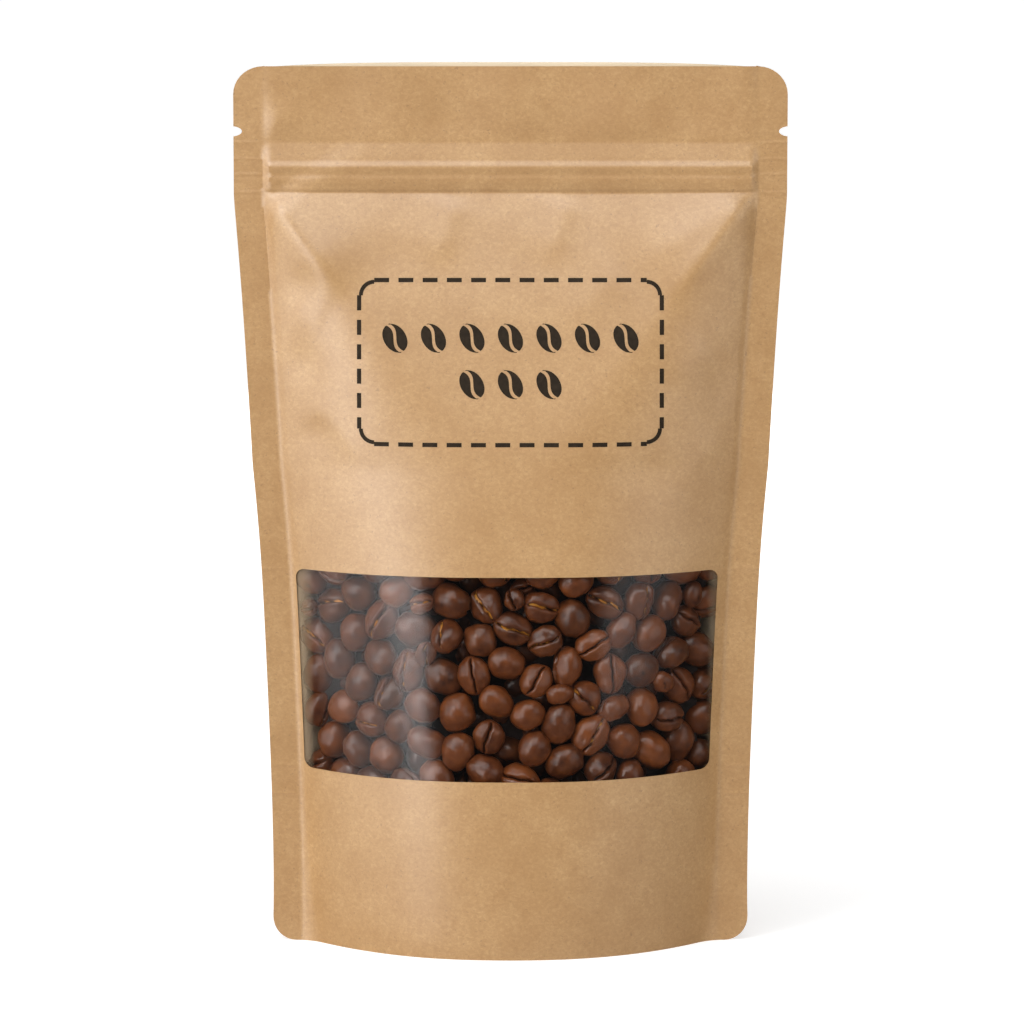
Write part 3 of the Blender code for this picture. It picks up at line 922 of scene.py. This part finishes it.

# %% [markdown]
# ## Roasted coffee
# Coffee roasted medium dark: a thin brown skin, slightly oily, over a brittle body. Tone differs
# from bean to bean, the surface is finely wrinkled, and the broad highlight is soft. The furrows
# and cracks are painted darker as painted shade, and the rear beans get a darker tone as painted
# shade. The shape itself is in the mesh, and only the finest wrinkles are left to bump.


# %% The bean material
def roasted_coffee():
    material, tree, place = new_material("medium dark roasted coffee")
    roast_and_shade, gold, pit = (
        node(tree, "ShaderNodeAttribute", {"attribute_name": name}).outputs["Fac"]
        for name in ("roast_and_shade", "furrow_skin", "furrow")
    )
    # the first attribute is each bean's random roasting tone, kept low on the rear beans as painted shade
    stops = ((0.0, linear("#361707")), (0.5, linear("#552810")), (1.0, linear("#783E18")))
    tone = node(tree, "ShaderNodeValToRGB", stops=stops, i0=roast_and_shade).outputs[0]
    # blotches of 3 mm, where the roast took the skin more or less
    patches = node(tree, "ShaderNodeTexNoise", Vector=place, Scale=330.0, Detail=3.0, Roughness=0.6)
    stops = ((0.3, linear("#2A1206")), (0.7, linear("#844A22")))
    mottled = node(tree, "ShaderNodeValToRGB", stops=stops, i0=patches.outputs[0]).outputs[0]
    skin = node(tree, "ShaderNodeMix", BLEND, i0=0.42, i6=tone, i7=mottled).outputs[2]
    # the furrow and the cracks are painted darker, as painted shade in the slit
    furrow_shade = node(tree, "ShaderNodeMapRange", Value=pit, i1=0.35, i2=0.9, i3=0.0, i4=0.85).outputs[0]
    skin = node(tree, "ShaderNodeMix", BLEND, i0=furrow_shade, i6=skin, i7=linear("#160905")).outputs[2]
    # wrinkles from 2.4 mm down to 0.3 mm
    noise = node(tree, "ShaderNodeTexNoise", Vector=place, Scale=420.0, Detail=3.0, Roughness=0.55)
    wrinkles = noise.outputs[0]
    # the silverskin left in the furrow is torn into golden threads
    torn = node(tree, "ShaderNodeMath", MULTIPLY, i0=gold, i1=wrinkles).outputs[0]
    sharp = node(tree, "ShaderNodeMapRange", Value=torn, i1=0.12, i2=0.3, i3=0.0, i4=0.95).outputs[0]
    colour = node(tree, "ShaderNodeMix", BLEND, i0=sharp, i6=skin, i7=linear("#D0913A")).outputs[2]
    relief = node(tree, "ShaderNodeBump", Strength=0.4, Distance=0.0003, Height=wrinkles).outputs[0]
    # a trace of oil makes it smoother than dry wood
    gloss = {"Roughness": 0.3, "IOR": 1.5, "Specular_IOR_Level": 0.5, "Normal": relief}
    shader = node(tree, "ShaderNodeBsdfPrincipled", Base_Color=colour, **gloss)
    return shaded(material, tree, shader)


COFFEE = roasted_coffee()
heap = new_piece("coffee_beans", build_heap(), COFFEE, sharp=80.0)
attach(heap, "root")
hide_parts("beans")
print("heap:", len(heap.data.polygons), "faces")

# %% [markdown]
# ## The filling behind
# Behind the beans that show, the bag is full. One body fills the room there, set back from the
# window and coloured near black as painted shade, so that the gaps between beans end in shade and
# not in empty space. It is two bent grids, front and back, bridged along their rims.

# %% Core of the filling
FILL_TOP = 122.0
CORE_COLUMNS = 40
CORE_ROWS = 30
CORE_WALL = 1.4
CORE_BACK = 8.5


def core_place(side):
    """Places for the front (-1) or back (1) of the core."""

    def place(column, row):
        share = column / CORE_COLUMNS * 2 - 1
        share = np.sign(share) * np.abs(share) ** CROWDING
        low = gusset_z(share * seal_x(20.0)) + 1.8
        z = low + (FILL_TOP - 6 * share**2 - low) * row / CORE_ROWS
        x = share * (seal_x(z) - 2.6 - 4 * np.exp(-(((z - 66) / 28) ** 4)))
        over = np.maximum(z - WINDOW_TOP - 6, 0)
        under = np.maximum(WINDOW_BOTTOM - 6 - z, 0)
        hidden = np.clip((over + under) / 5, 0, 1)
        lump = 0.8 * np.sin(x / 1.7 + 2 * np.sin(z / 2.9)) * np.sin(z / 1.9)
        behind = CORE_WALL + (CORE_BACK + lump) * (1 - hidden) * (side < 0)
        return x, side * np.maximum(inset(half_depth, x, z, behind), 0.4), z

    return place


core_mesh = bent_grid(CORE_COLUMNS, CORE_ROWS, core_place(-1))
bent_grid(CORE_COLUMNS, CORE_ROWS, core_place(1), core_mesh)
bmesh.ops.bridge_loops(core_mesh, edges=[e for e in core_mesh.edges if e.is_boundary])
bmesh.ops.recalc_face_normals(core_mesh, faces=core_mesh.faces)


def shade_painted_filling():
    """The same coffee far back in the bag, coloured near black as painted shade, and too far back to
    shine.
    """
    material, tree, place = new_material("coffee painted dark as shade")
    patches = node(tree, "ShaderNodeTexNoise", Vector=place, Scale=250.0, Detail=2.0).outputs[0]
    # near-black browns, darker than any bean's own colour: painted shade
    stops = ((0.3, linear("#120904")), (0.7, linear("#2A150B")))
    colour = node(tree, "ShaderNodeValToRGB", stops=stops, i0=patches).outputs[0]
    shader = node(tree, "ShaderNodeBsdfPrincipled", Base_Color=colour, Roughness=0.7)
    return shaded(material, tree, shader)


core = new_piece("coffee_core", core_mesh, shade_painted_filling())
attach(core, "root")
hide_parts("beans")
print("core:", len(core.data.polygons), "faces")

# %% [markdown]
# ## The printed frame
# A dashed frame with rounded corners is printed on the paper in dark brown ink, with two rows of
# bean shapes in it. Ink has next to no thickness, so each stroke is a thin patch that lies on the
# paper and bends with it. An image on the paper would blur close up, and a patch stays crisp.

# %% Ink strokes
FRAME_X = 35.9
FRAME_TOP = 158.9
FRAME_LOW = 119.9
INK_WIDTH = 1.0
INK_LIFT = 0.04
INK_THICK = 0.03
DASH = 3.5
DASH_PITCH = 5.67
SHORTEST_DASH = 0.3
CORNER = 4.0
ink_mesh = bmesh.new()


def lay_on_front(x, z):
    """A place just in front of the paper."""
    return x, -(front_depth(x, z) + INK_LIFT), z


def stroke(path, width, steps, across=2):
    """A patch of even width along path(t), t from 0 to 1."""
    line = np.array([path(t) for t in np.linspace(0, 1, steps + 1)])
    ahead = np.gradient(line, axis=0)
    ahead /= np.linalg.norm(ahead, axis=1)[:, None]
    normal = np.stack([ahead[:, 1], -ahead[:, 0]], axis=1)

    def place(column, row):
        off = (row / across - 0.5) * width
        spot = line[column] + normal[column] * off[:, None]
        return lay_on_front(spot[:, 0], spot[:, 1])

    bent_grid(steps, across, place, ink_mesh)


def straight(x0, z0, x1, z1):
    """One dash."""
    stroke(lambda t: (x0 + (x1 - x0) * t, z0 + (z1 - z0) * t), INK_WIDTH, 4)


def dashes(start, end, draw):
    """Dashes from start to end, the last one cut off where the side ends."""
    at = start
    while at < end - SHORTEST_DASH:
        draw(at, min(at + DASH, end))
        at += DASH_PITCH


# %% The frame
inner_x = FRAME_X - CORNER
half_ink = INK_WIDTH / 2
tall = FRAME_TOP - FRAME_LOW
for z in (FRAME_TOP - half_ink, FRAME_LOW + half_ink):
    dashes(-inner_x, inner_x, lambda a, b: straight(a, z, b, z))
for x in (-FRAME_X + half_ink, FRAME_X - half_ink):
    dashes(CORNER, tall - CORNER, lambda a, b: straight(x, FRAME_TOP - a, x, FRAME_TOP - b))
bend = CORNER - half_ink - 0.4


def corner_arc(side, z0, upwards):
    """Path of a quarter circle around the inner end of a corner."""

    def path(t):
        angle = t * math.pi / 2
        return side * (inner_x + bend * math.sin(angle)), z0 + upwards * bend * math.cos(angle)

    return path


for side in (-1, 1):
    for z0, upwards in ((FRAME_TOP - CORNER, 1), (FRAME_LOW + CORNER, -1)):
        stroke(corner_arc(side, z0, upwards), INK_WIDTH * 0.93, 10)
print("faces of the frame:", len(ink_mesh.faces))

# %% Bean shapes in the frame
MARK_LONG = 7.2
MARK_WIDE = 5.2
MARK_LEAN = 0.6
MARK_PITCH = 9.0
MARK_STEPS = 20


def mark_slice(side, t):
    """Middle, width and height of one slice through half a bean shape."""
    v = (t * 2 - 1) * 0.985
    edge = math.sqrt(1 - v * v) * MARK_WIDE / 2
    gap = 0.16 * MARK_WIDE * math.sin(v * 2.7) + side * 0.075 * MARK_WIDE
    inner = side * max(side * gap, -edge * 0.9)
    return (side * edge + inner) / 2, abs(side * edge - inner), v * MARK_LONG / 2


def bean_mark(x, z):
    """Two half ovals with an S-shaped gap between them."""
    for side in (-1, 1):
        rows = np.array([mark_slice(side, t) for t in np.linspace(0, 1, MARK_STEPS + 1)])

        def place(column, row):
            across = rows[column, 0] + (row / 4 - 0.5) * rows[column, 1]
            along = rows[column, 2]
            return lay_on_front(
                x + across * math.cos(MARK_LEAN) - along * math.sin(MARK_LEAN),
                z + across * math.sin(MARK_LEAN) + along * math.cos(MARK_LEAN),
            )

        bent_grid(MARK_STEPS, 4, place, ink_mesh)


for count, height in ((7, 145.0), (3, 134.3)):
    for i in range(count):
        bean_mark((i - (count - 1) / 2) * MARK_PITCH, height)
print("faces of all the ink:", len(ink_mesh.faces))

# %% [markdown]
# ## Printing ink
# Flexographic ink on paper: a thin, dark brown layer that sinks into the fibres, so it is matt and
# a little uneven. Its faces are turned outwards before they get their thickness.


# %% The ink material
def printing_ink():
    material, tree, place = new_material("dark brown flexographic ink")
    uneven = node(tree, "ShaderNodeTexNoise", Vector=place, Scale=900.0, Detail=3.0).outputs[0]
    stops = ((0.3, linear("#251D14")), (0.7, linear("#31271C")))
    colour = node(tree, "ShaderNodeValToRGB", stops=stops, i0=uneven).outputs[0]
    gloss = {"Roughness": 0.6, "Specular_IOR_Level": 0.12}
    shader = node(tree, "ShaderNodeBsdfPrincipled", Base_Color=colour, **gloss)
    return shaded(material, tree, shader)


bmesh.ops.recalc_face_normals(ink_mesh, faces=ink_mesh.faces)
for face in ink_mesh.faces:
    if face.normal.y > 0:
        face.normal_flip()
ink = new_piece("printed_frame", ink_mesh, printing_ink())
thicken(ink, INK_THICK)
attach(ink, "root")
print("ink:", len(ink.data.polygons), "faces")

# %% [markdown]
# ## Floor
# A pale floor runs far back. Behind the pouch, and far in front of it, it glows like a light table,
# so it melts into the white world. It could be a curved paper roll, but a flat floor needs no
# horizon to hide. Mirror rays pass it by, so the film and the beans mirror the softboxes alone.

# %% Floor
FLOOR_HALF = 120.0
floor_mesh = bmesh.new()
bmesh.ops.create_grid(floor_mesh, x_segments=1, y_segments=1, size=FLOOR_HALF)
floor_material, tree, place = new_material("pale studio floor")
depth = node(tree, "ShaderNodeSeparateXYZ", Vector=place).outputs["Y"]
# the glow begins 0.4 m before the origin and is full 1.6 m behind it
back_share = node(tree, "ShaderNodeMapRange", Value=depth, i1=-0.4, i2=1.6, i3=0.0, i4=1.0).outputs[0]
stops = [(at, (glow, glow, glow, 1.0)) for at, glow in ((0.0, 0.0), (0.15, 0.5), (0.3, 0.72), (0.9, 0.98))]
behind = node(tree, "ShaderNodeValToRGB", stops=stops, i0=back_share).outputs[0]
before = node(tree, "ShaderNodeMapRange", Value=depth, i1=-1.0, i2=-2.2, i3=0.0, i4=0.9).outputs[0]
glow = node(tree, "ShaderNodeMath", {"operation": "ADD"}, i0=behind, i1=before).outputs[0]
looks = {"Base_Color": linear("#D0D0D0"), "Roughness": 0.9, "Specular_IOR_Level": 0.1}
shine = {"Emission_Color": linear("#FFFFFF"), "Emission_Strength": glow}
shader = node(tree, "ShaderNodeBsdfPrincipled", **looks, **shine)
floor = new_piece("floor", floor_mesh, shaded(floor_material, tree, shader))
floor.visible_glossy = False
print("floor:", 2 * FLOOR_HALF, "m square")

# %% [markdown]
# ## Light
# Five softboxes, all unseen by the camera. A wide key light wraps round from the left. A tall strip
# next to it is what the film mirrors as the left streak, and a weaker box at the right gives the
# right one. A broad one overhead models the zip, and one at the back lights the plain back panel.
# The world is bright for the camera alone, because its mirror image would be a veil on the film.

# %% Lights
LIT_POINT = Vector((0, 0, 0.1))


def softbox(name, azimuth, elevation, distance, width, height, power):
    """An area light turned to the pouch; angles in degrees from straight ahead, power in watts."""
    lamp = bpy.data.lights.new(name, "AREA")
    lamp.shape = "RECTANGLE"
    lamp.size = width
    lamp.size_y = height
    lamp.energy = power
    stand = bpy.data.objects.new(name, lamp)
    bpy.context.scene.collection.objects.link(stand)
    a, e = math.radians(azimuth), math.radians(elevation)
    towards = Vector((math.sin(a) * math.cos(e), -math.cos(a) * math.cos(e), math.sin(e)))
    stand.location = LIT_POINT + towards * distance
    stand.rotation_euler = (-towards).to_track_quat("-Z", "Y").to_euler()
    stand.visible_camera = False


softbox("key softbox", -61, 15, 1.4, 1.7, 1.4, 14.0)
softbox("strip softbox", -38, 12, 1.4, 0.45, 1.8, 6.0)
softbox("side softbox", 54, 14, 1.4, 1.1, 1.0, 3.7)
softbox("top softbox", -15, 54, 1.5, 1.6, 1.2, 17.5)
softbox("back softbox", 180, 20, 1.4, 1.6, 1.2, 9.0)

# %% World
world = bpy.data.worlds.new("studio")
bpy.context.scene.world = world
world.use_nodes = True
tree = world.node_tree
background = tree.nodes["Background"]
background.inputs["Color"].default_value = linear("#FFFFFF")
seen = node(tree, "ShaderNodeLightPath").outputs["Is Camera Ray"]
strength = node(tree, "ShaderNodeMath", MULTIPLY_ADD, i0=seen, i1=0.94, i2=0.05).outputs[0]
tree.links.new(strength, background.inputs["Strength"])

# %% [markdown]
# ## Camera
# A long lens from a good distance keeps the sides nearly parallel, as in a catalogue. The camera
# looks slightly down, so the foot shows its curve.

# %% Camera
CAMERA_FAR = 1.1
CAMERA_DOWN = math.radians(6.5)
LENS = 163.3
AIM = Vector((0.0, 0.0, 0.103))
camera_data = bpy.data.cameras.new("camera")
camera_data.lens = LENS
camera_data.sensor_width = 36.0
camera_data.shift_x = 0.0015
camera_data.clip_end = 300.0
camera = bpy.data.objects.new("camera", camera_data)
bpy.context.scene.collection.objects.link(camera)
towards = Vector((0.0, -math.cos(CAMERA_DOWN), math.sin(CAMERA_DOWN)))
camera.location = AIM + towards * CAMERA_FAR
camera.rotation_euler = (-towards).to_track_quat("-Z", "Y").to_euler()
bpy.context.scene.camera = camera
bpy.context.scene.view_settings.view_transform = "Standard"
print("camera:", LENS, "mm lens,", CAMERA_FAR, "m away")
